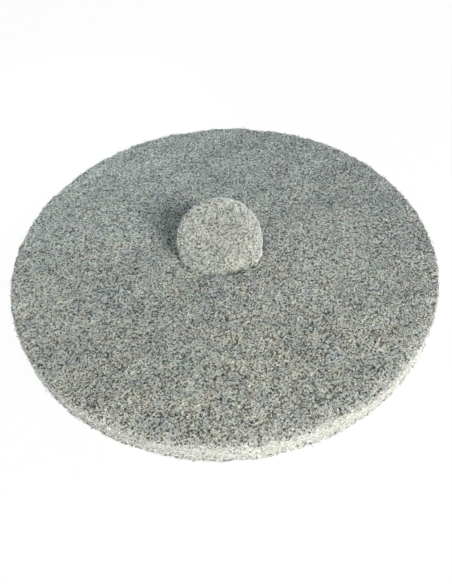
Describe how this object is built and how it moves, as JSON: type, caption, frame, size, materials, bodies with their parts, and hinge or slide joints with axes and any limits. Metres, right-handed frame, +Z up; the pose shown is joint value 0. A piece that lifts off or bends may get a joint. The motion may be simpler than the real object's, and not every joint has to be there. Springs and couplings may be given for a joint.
{
  "type": "round floor pad",
  "caption": "Round floor-machine pad of open grey non-woven fibre web, with its die-cut centre plug standing tilted in the centre hole.",
  "frame": {"origin": "centre of the pad's flat base, on the hole's axis", "axes": "+Z up through the centre hole, out of the upper face; -Y, give or take 5 degrees, is the side that the plug's lower edge sits at and its face looks to; +X is to the right seen from there"},
  "size_m": [0.4053, 0.4053, 0.0691],
  "materials": {
    "grey_web": "matt, open curled fibre web with fine grit",
    "cut_face_web": "matt, open curled fibre web with fine grit"
  },
  "bodies": {
    "root": {"floor_pad": "grey_web", "centre_plug": "cut_face_web"}
  },
  "joints": []
}
